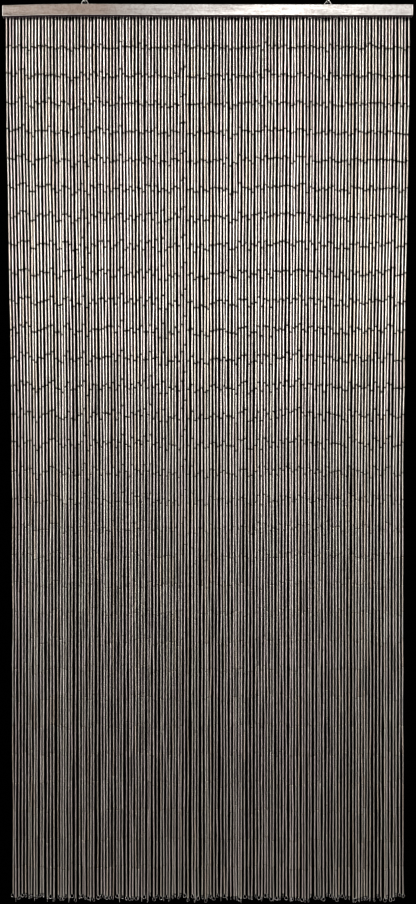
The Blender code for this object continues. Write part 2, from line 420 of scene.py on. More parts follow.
def store(tree, geometry, name, value, data_type="FLOAT", domain="POINT"):
    feed = {"Geometry": geometry, "Name": name, "Value": value}
    kind = "GeometryNodeStoreNamedAttribute"
    return node(tree, kind, feed, data_type=data_type, domain=domain).outputs[0]


def named(tree, name, data_type="FLOAT"):
    return node(tree, "GeometryNodeInputNamedAttribute", {"Name": name}, data_type=data_type).outputs[0]


def pick(tree, index, values):
    """The value that an index picks from a row of them."""
    switch = node(tree, "GeometryNodeIndexSwitch", data_type="FLOAT")
    while len(switch.index_switch_items) < len(values):
        switch.index_switch_items.new()
    tree.links.new(index, switch.inputs["Index"])
    for socket, value in zip(switch.inputs[1:], values):
        if isinstance(value, bpy.types.NodeSocket):
            tree.links.new(value, socket)
        else:
            socket.default_value = value
    return switch.outputs[0]


def flat_grid(tree, rings, sides, bands):
    """A flat grid to be rolled up, its ring and step numbers, and a map whose rings lie at these bands."""
    steps = maths(tree, "ADD", sides, 1.0)
    feed = {"Size X": rings - 1.0, "Size Y": sides, "Vertices X": rings, "Vertices Y": steps}
    grid = node(tree, "GeometryNodeMeshGrid", feed).outputs["Mesh"]
    here = node(tree, "ShaderNodeSeparateXYZ", {0: node(tree, "GeometryNodeInputPosition").outputs[0]})
    ring = maths(tree, "ROUND", maths(tree, "ADD", here.outputs[0], (rings - 1.0) / 2.0))
    step = maths(tree, "ROUND", maths(tree, "ADD", here.outputs[1], maths(tree, "MULTIPLY", sides, 0.5)))
    across = maths(tree, "DIVIDE", step, sides)
    turn = maths(tree, "MULTIPLY", across, math.tau)
    place = triple(tree, across, pick(tree, ring, bands))
    mapped = store(tree, grid, "OFBake", place, "FLOAT2", "CORNER")
    return mapped, ring, turn, here.outputs[0]


def roll_up(tree, geometry, place):
    """Moves a flat grid's points to these places and welds its seam and poles."""
    rolled = node(tree, "GeometryNodeSetPosition", {"Geometry": geometry, "Position": place}).outputs[0]
    return node(tree, "GeometryNodeMergeByDistance", {"Geometry": rolled, "Distance": WELD}).outputs[0]


def shade_smooth(tree, geometry, faces=True):
    feed = {0: geometry, "Selection": faces, "Shade Smooth": True}
    return node(tree, "GeometryNodeSetShadeSmooth", feed, domain="FACE").outputs[0]


def lay_out_map(tree, geometry, columns, rows):
    """Gives every copy a cell of its own in the map."""
    inside = vector_maths(tree, "MULTIPLY", named(tree, "OFBake", "FLOAT_VECTOR"), (0.9, 0.92, 0.0))
    inside = vector_maths(tree, "ADD", inside, (0.05, 0.04, 0.0))
    moved = vector_maths(tree, "ADD", inside, named(tree, "cell", "FLOAT_VECTOR"))
    fitted = vector_maths(tree, "DIVIDE", moved, triple(tree, columns, rows, 1.0))
    return store(tree, geometry, "OFBake", fitted, "FLOAT2", "CORNER")


def place_copies(tree, points, shape):
    """Copies of a shape at the points, turned and stretched as each point says."""
    turn = node(tree, "FunctionNodeEulerToRotation", {0: named(tree, "lie", "FLOAT_VECTOR")}).outputs[0]
    stretch = named(tree, "stretch", "FLOAT_VECTOR")
    feed = {"Points": points, "Instance": shape, "Rotation": turn, "Scale": stretch}
    copies = node(tree, "GeometryNodeInstanceOnPoints", feed).outputs[0]
    return node(tree, "GeometryNodeRealizeInstances", {"Geometry": copies}).outputs[0]


def tube_tree():
    """Bamboo tubes: a wall, eased rims and a bore marked for painted shade inside, copied to points on the
    strings.
    """
    inputs = (
        ("Tube Diameter", "Float"),
        ("Tube Length", "Float"),
        ("Bore Diameter", "Float"),
        ("Bore Depth", "Float"),
        ("Rim Ease", "Float"),
        ("Rim Length", "Float"),
        ("Straight From", "Float"),
        ("Sides", "Int"),
        ("Map Columns", "Float"),
        ("Map Rows", "Float"),
        ("Material", "Material"),
    )
    tree, given = new_tree("bamboo_tubes", inputs)
    end = maths(tree, "MULTIPLY", given["Tube Length"], 0.5)
    shoulder = maths(tree, "SUBTRACT", end, given["Rim Length"])
    heights = {
        "bore's end": maths(tree, "SUBTRACT", end, given["Bore Depth"]),
        "end": end,
        "shoulder": shoulder,
        "straight": maths(tree, "SUBTRACT", shoulder, given["Straight From"]),
    }
    wall = maths(tree, "MULTIPLY", given["Tube Diameter"], 0.5)
    radii = {
        "centre": 0.0,
        "bore": maths(tree, "MULTIPLY", given["Bore Diameter"], 0.5),
        "rim": maths(tree, "SUBTRACT", wall, given["Rim Ease"]),
        "wall": wall,
    }
    upper_half = HALF_TUBE[::-1]
    bands = [row["map"] for row in HALF_TUBE] + [1.0 - row["map"] for row in upper_half]
    along = [-row["along"] for row in HALF_TUBE] + [row["along"] for row in upper_half]
    hollow = [row["hollow"] for row in HALF_TUBE + upper_half]
    radius = [radii[row["radius"]] for row in HALF_TUBE + upper_half]
    above = [heights[row["height"]] for row in upper_half]
    below = [maths(tree, "MULTIPLY", height, -1.0) for height in above[::-1]]
    flat, ring, turn, length_way = flat_grid(tree, len(bands), given["Sides"], bands)
    on_wall = maths(tree, "LESS_THAN", maths(tree, "ABSOLUTE", length_way), WALL_REACH)
    flat = shade_smooth(tree, flat, on_wall)
    flat = store(tree, flat, "along", pick(tree, ring, along))
    # share of painted shade in the bore, read by the material
    flat = store(tree, flat, "hollow", pick(tree, ring, hollow))
    out = pick(tree, ring, radius)
    x = maths(tree, "MULTIPLY", out, maths(tree, "COSINE", turn))
    y = maths(tree, "MULTIPLY", out, maths(tree, "SINE", turn))
    rolled = roll_up(tree, flat, triple(tree, x, y, pick(tree, ring, below + above)))
    tube = node(tree, "GeometryNodeFlipFaces", {0: rolled}).outputs[0]  # rolled up, the grid faces its bore
    copies = place_copies(tree, given["Geometry"], tube)
    close_tree(tree, lay_out_map(tree, copies, given["Map Columns"], given["Map Rows"]), given["Material"])
    return tree


def linked_eyes_tree():
    """Two small wire eyes hooked into each other, copied to the joints."""
    inputs = (
        ("Eye Diameter", "Float"),
        ("Wire Diameter", "Float"),
        ("Wire Sides", "Int"),
        ("Map Columns", "Float"),
        ("Map Rows", "Float"),
        ("Material", "Material"),
    )
    tree, given = new_tree("linked_eyes", inputs)
    rings = EYE_SIDES + 1
    bands = [k / EYE_SIDES for k in range(rings)]
    flat, ring, turn, _ = flat_grid(tree, rings, given["Wire Sides"], bands)
    radius = maths(tree, "MULTIPLY", given["Eye Diameter"], 0.5)
    wire = maths(tree, "MULTIPLY", given["Wire Diameter"], 0.5)
    round_eye = maths(tree, "MULTIPLY", ring, math.tau / EYE_SIDES)
    out = maths(tree, "ADD", radius, maths(tree, "MULTIPLY", wire, maths(tree, "COSINE", turn)))
    x = maths(tree, "MULTIPLY", out, maths(tree, "SINE", round_eye))
    z = maths(tree, "MULTIPLY", out, maths(tree, "COSINE", round_eye))
    y = maths(tree, "MULTIPLY", wire, maths(tree, "SINE", turn))
    eye = shade_smooth(tree, roll_up(tree, flat, triple(tree, x, y, z)))
    apart = maths(tree, "SUBTRACT", radius, wire)
    up = {"Geometry": eye, "Translation": triple(tree, 0.0, 0.0, apart)}
    down = {
        "Geometry": eye,
        "Translation": triple(tree, 0.0, 0.0, maths(tree, "MULTIPLY", apart, -1.0)),
        "Rotation": (0.0, 0.0, math.pi / 2.0),
    }
    pair = node(tree, "GeometryNodeJoinGeometry")
    for feed in (up, down):
        tree.links.new(node(tree, "GeometryNodeTransform", feed).outputs[0], pair.inputs[0])
    copies = place_copies(tree, given["Geometry"], pair.outputs[0])
    close_tree(tree, lay_out_map(tree, copies, given["Map Columns"], given["Map Rows"]), given["Material"])
    return tree


def bent_wire_tree():
    """Round wire along the edges of a mesh."""
    inputs = (("Wire Diameter", "Float"), ("Wire Sides", "Int"), ("Material", "Material"))
    tree, given = new_tree("bent_wire", inputs)
    line = node(tree, "GeometryNodeMeshToCurve", {0: given["Geometry"]}).outputs[0]
    radius = maths(tree, "MULTIPLY", given["Wire Diameter"], 0.5)
    feed = {"Resolution": given["Wire Sides"], "Radius": radius}
    section = node(tree, "GeometryNodeCurvePrimitiveCircle", feed, mode="RADIUS").outputs[0]
    feed = {"Curve": line, "Profile Curve": section, "Fill Caps": True}
    close_tree(tree, node(tree, "GeometryNodeCurveToMesh", feed).outputs[0], given["Material"])
    return tree


def grow(name, base, tree, sizes):
    """Runs a tree on a base mesh and keeps what it makes as a plain mesh at the origin."""
    holder = link(name + "_base", base)
    grown = holder.modifiers.new("grow", "NODES")
    grown.node_group = tree
    for item in tree.interface.items_tree:
        if item.in_out == "INPUT" and item.name in sizes:
            grown[item.identifier] = sizes[item.name]
    depsgraph = bpy.context.evaluated_depsgraph_get()
    evaluated = holder.evaluated_get(depsgraph)
    mesh = bpy.data.meshes.new_from_object(evaluated, preserve_all_data_layers=True, depsgraph=depsgraph)
    bpy.data.objects.remove(holder, do_unlink=True)
    for spare in ("lie", "stretch", "cell"):
        if spare in mesh.attributes:
            mesh.attributes.remove(mesh.attributes[spare])
    mesh.name = name
    return link(name, mesh)


def hand_in(piece, solid):
    """Rides a piece on the curtain's one body, in place of this solid."""
    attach(piece, "root")
    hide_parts(solid)
    return piece


# Shader node groups


def shader_group(name, inputs, outputs):
    group = bpy.data.node_groups.new(name, "ShaderNodeTree")
    for label, kind in inputs:
        group.interface.new_socket(label, in_out="INPUT", socket_type=f"NodeSocket{kind}")
    for label in outputs:
        group.interface.new_socket(label, in_out="OUTPUT", socket_type="NodeSocketFloat")
    return group, group.nodes.new("NodeGroupInput").outputs, group.nodes.new("NodeGroupOutput").inputs


def long_grain_group():
    """Fibres that run one way: broad streaks and fine lines, each from 0 to 1."""
    inputs = (("Place", "Vector"), ("Fineness", "Vector"), ("Shift", "Float"))
    group, given, gives = shader_group("long_grain", inputs, ("Streaks", "Lines"))
    scaled = vector_maths(group, "MULTIPLY", given["Place"], given["Fineness"])
    apart = triple(group, given["Shift"], maths(group, "MULTIPLY", given["Shift"], 2.7), given["Shift"])
    moved = vector_maths(group, "ADD", scaled, apart)
    broad = noise(group, moved, 0.35, 2.0)
    fine = noise(group, moved, 1.6, 3.0, 0.62, 0.25)
    group.links.new(rescaled(group, broad, 0.36, 0.64), gives["Streaks"])
    group.links.new(rescaled(group, fine, 0.34, 0.66), gives["Lines"])
    return group


def worn_rim_group():
    """Wear that eats in unevenly from a rim: 1 where the finish is rubbed off."""
    inputs = (("Place", "Vector"), ("Nearness", "Float"), ("Start", "Float"), ("Patch Size", "Float"))
    group, given, gives = shader_group("worn_rim", inputs, ("Wear",))
    patches = noise(group, given["Place"], maths(group, "DIVIDE", 1.0, given["Patch Size"]), 2.0)
    ragged = maths(group, "MULTIPLY", maths(group, "SUBTRACT", patches, 0.5), 0.10)
    near = maths(group, "ADD", given["Nearness"], ragged)
    group.links.new(rescaled(group, near, given["Start"], 1.0), gives["Wear"])
    return group


# Materials


def finish(name, **values):
    """A Principled material, its tree and its shader."""
    made = bpy.data.materials.new(name)
    made.use_nodes = True
    shader = made.node_tree.nodes["Principled BSDF"]
    for socket, value in values.items():
        shader.inputs[socket.replace("_", " ")].default_value = value
    return made, made.node_tree, shader


def object_place(tree):
    return node(tree, "ShaderNodeTexCoord").outputs["Object"]


def attribute(tree, name):
    return node(tree, "ShaderNodeAttribute", attribute_name=name).outputs["Fac"]


def blend(tree, share, near, far, way="MIX"):
    """One colour mixed over another by a share."""
    made = node(tree, "ShaderNodeMix", {0: share}, data_type="RGBA", blend_type=way)
    for socket, colour in ((made.inputs[6], near), (made.inputs[7], far)):
        if isinstance(colour, bpy.types.NodeSocket):
            tree.links.new(colour, socket)
        else:
            socket.default_value = (*colour, 1.0)
    return made.outputs[2]


def colour_steps(tree, share, steps):
    """A colour that goes through these steps as the share goes from 0 to 1."""
    ramp = node(tree, "ShaderNodeValToRGB", {0: share})
    stops = ramp.color_ramp.elements
    for row in steps[1:-1]:
        stops.new(row["at"])
    for stop, row in zip(stops, steps):
        stop.position = row["at"]
        stop.color = (*row["colour"], 1.0)
    return ramp.outputs[0]


def rescaled(tree, value, low, high, start=0.0, end=1.0):
    """A number that goes from start to end as the value goes from low to high."""
    feed = {"Value": value, "From Min": low, "From Max": high, "To Min": start, "To Max": end}
    return node(tree, "ShaderNodeMapRange", feed).outputs[0]


def noise(tree, place, scale, detail, roughness=0.5, distortion=0.0):
    """Cloudy noise with patches of about one over the scale."""
    feed = {"Vector": place, "Scale": scale, "Detail": detail}
    feed.update({"Roughness": roughness, "Distortion": distortion})
    return node(tree, "ShaderNodeTexNoise", feed).outputs[0]


def grain_in(tree, grain, place, fineness, shift=0.0):
    """The streaks and lines of the grain, placed in a material."""
    feed = {"Place": place, "Fineness": fineness, "Shift": shift}
    fibres = node(tree, "ShaderNodeGroup", feed, node_tree=grain)
    return fibres.outputs["Streaks"], fibres.outputs["Lines"]


def wear_in(tree, wear, place, nearness, start, patch_size):
    """The rubbed places near a rim, placed in a material."""
    feed = {"Place": place, "Nearness": nearness, "Start": start, "Patch Size": patch_size}
    return node(tree, "ShaderNodeGroup", feed, node_tree=wear).outputs["Wear"]


def raise_by(tree, height, shader, distance, strength):
    """Raises the surface by a pattern."""
    bump = node(tree, "ShaderNodeBump", {"Height": height, "Distance": distance, "Strength": strength})
    tree.links.new(bump.outputs[0], shader.inputs["Normal"])


def bamboo_lacquer(grain, wear):
    """Pale lacquered bamboo: long fibres, tubes that differ in tone and tint, rubbed rims and painted shade
    inside the bores.
    """
    made, tree, shader = finish("bamboo_lacquer", Metallic=0.92)
    place = object_place(tree)
    tone = attribute(tree, "tone")
    shift = maths(tree, "MULTIPLY", tone, 37.0)  # so that no two tubes show the same fibres
    streaks, lines = grain_in(tree, grain, place, BAMBOO_FINENESS, shift)
    body = blend(tree, lines, BAMBOO_DEEP, BAMBOO_PALE)
    body = blend(tree, maths(tree, "MULTIPLY", streaks, 0.30), body, BAMBOO_STREAK)
    body = blend(tree, 1.0, body, colour_steps(tree, attribute(tree, "tint"), BAMBOO_TINTS), "MULTIPLY")
    shade = rescaled(tree, tone, 0.0, 1.0, *BAMBOO_SHADES)
    body = blend(tree, 1.0, body, triple(tree, shade, shade, shade), "MULTIPLY")
    rubbed = wear_in(tree, wear, place, maths(tree, "ABSOLUTE", attribute(tree, "along")), 0.955, 0.004)
    ends = blend(tree, maths(tree, "MULTIPLY", rubbed, 0.60), body, BARE_RIM)
    # painted shade in the bore, darkest at its end
    tree.links.new(blend(tree, attribute(tree, "hollow"), ends, BORE_PAINTED_SHADE), shader.inputs["Base Color"])
    tree.links.new(rescaled(tree, lines, 0.0, 1.0, 0.40, 0.32), shader.inputs["Roughness"])
    raise_by(tree, lines, shader, 0.00003, 0.4)
    return made


def bar_body(tree, place, along, streaks, lines, fleck):
    """Colours of the bar's face: brown at the left end and grey beyond, with grain, blotches and flecks."""
    brown, grey = (
        blend(tree, lines, blend(tree, streaks, row["deep"], row["pale"]), row["line"])
        for row in (BAR_BROWN, BAR_GREY)
    )
    uneven = maths(tree, "MULTIPLY", noise(tree, place, 14.0, 3.0), BROWN_RAGGED)
    ragged = maths(tree, "ADD", along, uneven)
    turned = rescaled(tree, ragged, BROWN_END - BROWN_BLEND, BROWN_END + BROWN_BLEND)
    body = blend(tree, turned, brown, grey)
    blotches = rescaled(tree, noise(tree, place, 70.0, 3.0, distortion=1.6), 0.50, 0.62, 0.0, BLOTCH_DEPTH)
    body = blend(tree, blotches, body, BLOTCH)
    body = blend(tree, maths(tree, "MULTIPLY", fleck, FLECK_DEPTH), body, FLECK)
    from_brownest = maths(tree, "ABSOLUTE", maths(tree, "SUBTRACT", along, BROWNEST))
    return blend(tree, rescaled(tree, from_brownest, *BROWN_FADES, BROWN_DEPTH, 0.0), body, DEEP_BROWN)


def bar_lacquer(grain, wear):
    """Satin lacquer on the wooden bar, with pale rubbed edges that also carry a painted highlight, and
    painted shade on its dull underside.
    """
    made, tree, shader = finish("bar_lacquer", Specular_IOR_Level=0.12)
    place = object_place(tree)
    along = node(tree, "ShaderNodeSeparateXYZ", {0: place}).outputs[0]
    streaks, all_lines = grain_in(tree, grain, place, BAR_FINENESS)
    lines = maths(tree, "MULTIPLY", all_lines, BAR_LINES)
    fleck = rescaled(tree, noise(tree, place, 330.0, 1.5, 0.6), 0.46, 0.58)
    body = bar_body(tree, place, along, streaks, lines, fleck)
    edges = maths(tree, "MAXIMUM", attribute(tree, "rise"), attribute(tree, "reach"))
    rubbed = wear_in(tree, wear, place, edges, 0.84, 0.010)
    # the pale edge colour is wear and also a painted highlight along the rounded edges
    colour = blend(tree, rescaled(tree, rubbed, 0.50, 1.0, 0.0, 0.90), body, BARE_EDGE_AND_HIGHLIGHT)
    under = attribute(tree, "under")
    # painted shade on the underside
    tree.links.new(blend(tree, under, colour, UNDERSIDE_PAINTED_SHADE), shader.inputs["Base Color"])
    shine = rescaled(tree, along, BROWN_END - SHINE_BLEND[0], BROWN_END + SHINE_BLEND[1], *BAR_SHINE)
    not_under = rescaled(tree, under, 0.0, 1.0, 1.0, 0.0)
    tree.links.new(maths(tree, "MULTIPLY", shine, not_under), shader.inputs["Metallic"])
    smoothed = maths(tree, "ADD", maths(tree, "MULTIPLY", fleck, 0.4), maths(tree, "MULTIPLY", lines, 0.75))
    dull = rescaled(tree, smoothed, 0.0, 1.0, 0.40, 0.25)
    dull_under = maths(tree, "MULTIPLY", under, 0.85)
    tree.links.new(maths(tree, "MAXIMUM", dull, dull_under), shader.inputs["Roughness"])
    relief = maths(tree, "ADD", all_lines, maths(tree, "MULTIPLY", fleck, 0.5))
    raise_by(tree, relief, shader, 0.00020, 0.5)
    return made


def drawn_wire(name):
    """Drawn steel wire that has gone dull in patches."""
    row = STEELS[name]
    made, tree, shader = finish(name, Metallic=1.0)
    spots = noise(tree, object_place(tree), 1.0 / row["patch"], 3.0)
    dulled = tuple(DULLED * part for part in row["colour"])
    tree.links.new(blend(tree, spots, dulled, row["colour"]), shader.inputs["Base Color"])
    tree.links.new(rescaled(tree, spots, 0.0, 1.0, row["dull"], row["bright"]), shader.inputs["Roughness"])
    raise_by(tree, spots, shader, 0.00005, 0.3)
    return made


# Tubes, links, eyes and rings


def lie_of(direction):
    """Turns about X and Y that lay an upright shape along these upward directions."""
    unit = direction / np.linalg.norm(direction, axis=-1, keepdims=True)
    about_x = -np.arcsin(unit[..., 1])
    about_y = np.arctan2(unit[..., 0], unit[..., 2])
    return np.stack((about_x, about_y, np.zeros_like(about_x)), axis=-1)


def scatter(random, shape, string_spread, tube_spread):
    """One number for each tube: a part that its string shares, and a part of its own."""
    return spread(random, (shape[0], 1), string_spread) + spread(random, shape, tube_spread)


def tubes_piece(number, joints, random, tree, material, bar_under):
    """The tubes of some strings."""
    high = joints[:, :-1] * (1.0, 1.0, -1.0)
    low = joints[:, 1:] * (1.0, 1.0, -1.0)
    up = high - low
    closed = smooth((-(high + low)[..., 2] / 2.0 - GAP_CLOSES[0]) / (GAP_CLOSES[1] - GAP_CLOSES[0]))
    gap = TUBE_GAP + (FOOT_GAP - TUBE_GAP) * closed
    clear = np.linalg.norm(up, axis=2) - gap
    length = TUBE_PITCH - TUBE_GAP
    strings, tubes = clear.shape
    girth = 1.0 + scatter(random, clear.shape, STRING_GIRTH_SPREAD, TUBE_GIRTH_SPREAD)
    girth += GIRTH_FALL * (0.5 - np.arange(tubes) / tubes)
    tone = TONE["middle"] + scatter(random, clear.shape, TONE["string"], TONE["tube"])
    tone -= DARK_BY * (random.random(clear.shape) < DARK_SHARE)
    tint = TINT["middle"] + scatter(random, clear.shape, TINT["string"], TINT["tube"])
    column, row = np.meshgrid(np.arange(tubes), np.arange(strings))
    middle = (high + low) / 2.0
    middle[..., 2] += bar_under
    base = point_cloud(
        "tube_middles",
        middle.reshape(-1, 3),
        lie=lie_of(up).reshape(-1, 3),
        stretch=np.stack((girth, girth, clear / length), axis=2).reshape(-1, 3),
        tone=np.clip(tone, 0.0, 1.0).ravel(),
        tint=np.clip(tint, 0.0, 1.0).ravel(),
        cell=np.stack((column, row, 0.0 * row), axis=2).reshape(-1, 3),
    )
    sizes = {
        "Tube Diameter": TUBE_DIAMETER,
        "Tube Length": length,
        "Bore Diameter": BORE_DIAMETER,
        "Bore Depth": BORE_DEPTH,
        "Rim Ease": RIM_EASE,
        "Rim Length": RIM_LENGTH,
        "Straight From": STRAIGHT_FROM,
        "Sides": TUBE_SIDES,
        "Map Columns": float(tubes),
        "Map Rows": float(strings),
        "Material": material,
    }
    return hand_in(grow(f"bamboo_tubes_{number}", base, tree, sizes), "strands")


def links_piece(number, joints, random, tree, material, bar_under):
    """The wire links between the tubes of some strings."""
    inner = joints[:, 1:-1] * (1.0, 1.0, -1.0)
    inner[..., 2] += bar_under
    strings, count = inner.shape[:2]
    lie = np.zeros_like(inner)
    lie[..., 2] = random.uniform(0.0, math.pi, (strings, count))
    column, row = np.meshgrid(np.arange(count), np.arange(strings))
    base = point_cloud(
        "joints",
        inner.reshape(-1, 3),
        lie=lie.reshape(-1, 3),
        stretch=np.ones((strings * count, 3)),
        cell=np.stack((column, row, 0.0 * row), axis=2).reshape(-1, 3),
    )
    sizes = {
        "Eye Diameter": EYE_DIAMETER,
        "Wire Diameter": EYE_WIRE,
        "Wire Sides": EYE_WIRE_SIDES,
        "Map Columns": float(count),
        "Map Rows": float(strings),
        "Material": material,
    }
    return hand_in(grow(f"wire_links_{number}", base, tree, sizes), "strands")


def round_eye(centre, radius, turn, points, start=0.0):
    """Points round a wire eye that stands upright, from its top on."""
    across = Vector((math.cos(turn), math.sin(turn), 0.0))
    up = Vector((0.0, 0.0, 1.0))
    turns = [math.tau * k / points + start for k in range(points)]
    return [centre + radius * (across * math.sin(angle) + up * math.cos(angle)) for angle in turns]


def end_eye(centre, turn):
    """The closed eye at the top or the foot of a string."""
    return round_eye(centre, EYE_DIAMETER / 2.0, turn, END_EYE_POINTS)


def screw_eye(joint, turn, bar_under):
    """An open eye with its shank in the bar, above the first joint of a string."""
    radius = SCREW_EYE_DIAMETER / 2.0
    centre = joint + Vector((0.0, 0.0, radius - SCREW_WIRE / 2.0))
    shank = [bar_under + SCREW_SINK, centre.z + SCREW_NECK * radius]
    line = [Vector((joint.x, joint.y, z)) for z in shank]
    return line + round_eye(centre, radius, turn, SCREW_EYE_POINTS, SCREW_EYE_START)


def foot_ring(joint, turn, swing):
    """A wire teardrop that hangs in the last eye of a string."""
    top = Vector((joint.x, joint.y, joint.z + RING_WIRE / 2.0))
    height = RING_HEIGHT - TUBE_GAP / 2.0
    width = RING_WIDTH - RING_WIRE
    tilt = Matrix.Rotation(turn, 3, "Z") @ Matrix.Rotation(swing, 3, "Y")
    line = []
    for k in range(RING_POINTS):
        t = math.tau * k / RING_POINTS
        out = RING_BULGE * width * math.sin(t) * math.sin(t / 2.0) ** 0.6
        drop = height * (1.0 - math.cos(t)) / 2.0
        line.append(top + tilt @ Vector((out, 0.0, -drop)))
    return line


def ring_turns(random, x):
    """Turns of the foot rings, where no two neighbours both stand broadside."""
    turns = random.uniform(0.0, math.pi / 2.0, STRAND_COUNT)
    for k in range(1, STRAND_COUNT):
        before = RING_WIDTH / 2.0 * math.cos(turns[k - 1])
        room = (abs(x[k] - x[k - 1]) - before - RING_WIRE) / (RING_WIDTH / 2.0)
        if math.cos(turns[k]) > room:
            turns[k] = math.acos(min(1.0, max(0.0, room)))
    return turns * random.choice((-1.0, 1.0), STRAND_COUNT)


def make_strings(bar_under, lacquer, link_steel, ring_steel, wire):
    """All strings: tubes and links in shared-out pieces, then the eyes above and the rings below."""
    joints = joints_of_strings()
    random = np.random.default_rng(TUBE_SEED + 1)
    tubes, eyes = tube_tree(), linked_eyes_tree()
    for number, start in enumerate(range(0, STRAND_COUNT, STRANDS_PER_PIECE), 1):
        some = joints[start : start + STRANDS_PER_PIECE]
        tubes_piece(number, some, random, tubes, lacquer, bar_under)
        links_piece(number, some, random, eyes, link_steel, bar_under)
    ring_random = np.random.default_rng(RING_SEED)
    first = [Vector((x, y, bar_under - depth)) for x, y, depth in joints[:, 0]]
    last = [Vector((x, y, bar_under - depth)) for x, y, depth in joints[:, -1]]
    apart = Vector((0.0, 0.0, (EYE_DIAMETER - EYE_WIRE) / 2.0))
    across = math.pi / 2.0  # an end eye stands across the wire that goes through it
    top_turns = ring_random.normal(0.0, EYE_TURN_SPREAD, STRAND_COUNT)
    turns = ring_turns(ring_random, joints[:, -1, 0])
    swings = ring_random.normal(0.0, RING_SWING_SPREAD, STRAND_COUNT)
    screws = [screw_eye(place, turn, bar_under) for place, turn in zip(first, top_turns)]
    ends = [end_eye(place - apart, turn + across) for place, turn in zip(first, top_turns)]
    ends += [end_eye(place + apart, turn + across) for place, turn in zip(last, turns)]
    feet = [foot_ring(place, turn, swing) for place, turn, swing in zip(last, turns, swings)]
    rows = (
        ("screw_eyes", screws, False, SCREW_WIRE, 5, link_steel),
        ("end_eyes", ends, True, EYE_WIRE, 4, link_steel),
        ("foot_rings", feet, True, RING_WIRE, 6, ring_steel),
    )
    for name, lines, closed, thickness, sides, metal in rows:
        sizes = {"Wire Diameter": thickness, "Wire Sides": sides, "Material": metal}
        hand_in(grow(name, wire_paths(name, lines, closed), wire, sizes), "strands")


# Loops and hooks


def bend_wire(start, heading, steps):
    """The centreline of a bent wire in its own plane, from a start and a heading in degrees.

    Each step is a straight length, or a bend as (radius, degrees), where a positive bend turns left.
    """
    here = Vector(start)
    line = [here]
    for step in steps:
        along = math.radians(heading)
        if isinstance(step, tuple):
            radius, turn = step
            reach = math.copysign(radius, turn)
            centre = here + Vector((-math.sin(along), math.cos(along))) * reach
            pieces = max(1, round(abs(turn) / ARC_STEP))
            for k in range(1, pieces + 1):
                now = math.radians(heading + turn * k / pieces)
                line.append(centre + Vector((math.sin(now), -math.cos(now))) * reach)
            heading += turn
        else:
            line.append(here + Vector((math.cos(along), math.sin(along))) * step)
        here = line[-1]
    return line


def loop_side(row):
    """Straight length of a loop's leaning side, between its foot bend and its crown."""
    lean = math.radians(row["lean"])
    across = row["half_width"] - row["crown"] * math.cos(lean) - FOOT_BEND * (1.0 - math.cos(lean))
    return across / math.sin(lean)


def loop_rise(row):
    """Height of a loop's crown above the bar, on the wire's centreline."""
    lean = math.radians(row["lean"])
    straight = loop_side(row) * math.cos(lean) + FOOT_BEND * math.sin(lean)
    return GAP + straight + row["crown"] * (1.0 - math.sin(lean))


def hook_rise(row):
    """Height above the bar of the centre of a hook's bend, whose foot carries the loop's crown."""
    return loop_rise(row) - LOOP_WIRE - HANG_GAP - HOOK_WIRE + HOOK_BEND


def make_loop(row, bar_top, wire, steel):
    """A hanging loop: two legs in the bar, leaning sides and a round crown."""
    leg = LOOP_SINK + GAP
    side = loop_side(row)
    foot = (FOOT_BEND, -row["lean"])
    crown = (row["crown"], -(180.0 - 2.0 * row["lean"]))
    start = (row["x"] - row["half_width"], bar_top - LOOP_SINK)
    line = bend_wire(start, 90.0, (leg, foot, side, crown, side, foot, leg))
    name = f"hanger_{row['name']}"
    base = wire_paths(name, [[(x, 0.0, z) for x, z in line]], False)
    sizes = {"Wire Diameter": 2.0 * LOOP_WIRE, "Wire Sides": WIRE_SIDES, "Material": steel}
    return hand_in(grow(f"{name}_wire", base, wire, sizes), name)


def make_hook(row, bar_top, wire, steel):
    """A plain round hook: its tip, the bend under the loop's crown, the neck and the shank."""
    release = math.radians(HOOK_RELEASE)
    centre = bar_top + hook_rise(row)
    tip = (-HOOK_BEND * math.sin(release), centre - HOOK_BEND * math.cos(release))
    leave = math.radians(HOOK_SWEEP - HOOK_RELEASE)
    neck = math.radians(HOOK_NECK_TURN)
    slant = (HOOK_BEND * math.sin(leave) - NECK_BEND * (1.0 - math.cos(neck))) / math.sin(neck)
    steps = ((HOOK_BEND, HOOK_SWEEP), slant, (NECK_BEND, -HOOK_NECK_TURN))
    line = bend_wire(tip, -HOOK_RELEASE, steps)
    line.append(Vector((line[-1].x, 0.0)))
    turn = math.radians(row["hook_turn"])
    points = [(row["x"] + out * math.sin(turn), out * math.cos(turn), z) for out, z in line]
    name = f"hook_{row['name']}"
    sizes = {"Wire Diameter": 2.0 * HOOK_WIRE, "Wire Sides": WIRE_SIDES, "Material": steel}
    return hand_in(grow(f"{name}_wire", wire_paths(name, [points], False), wire, sizes), name)


# Bar


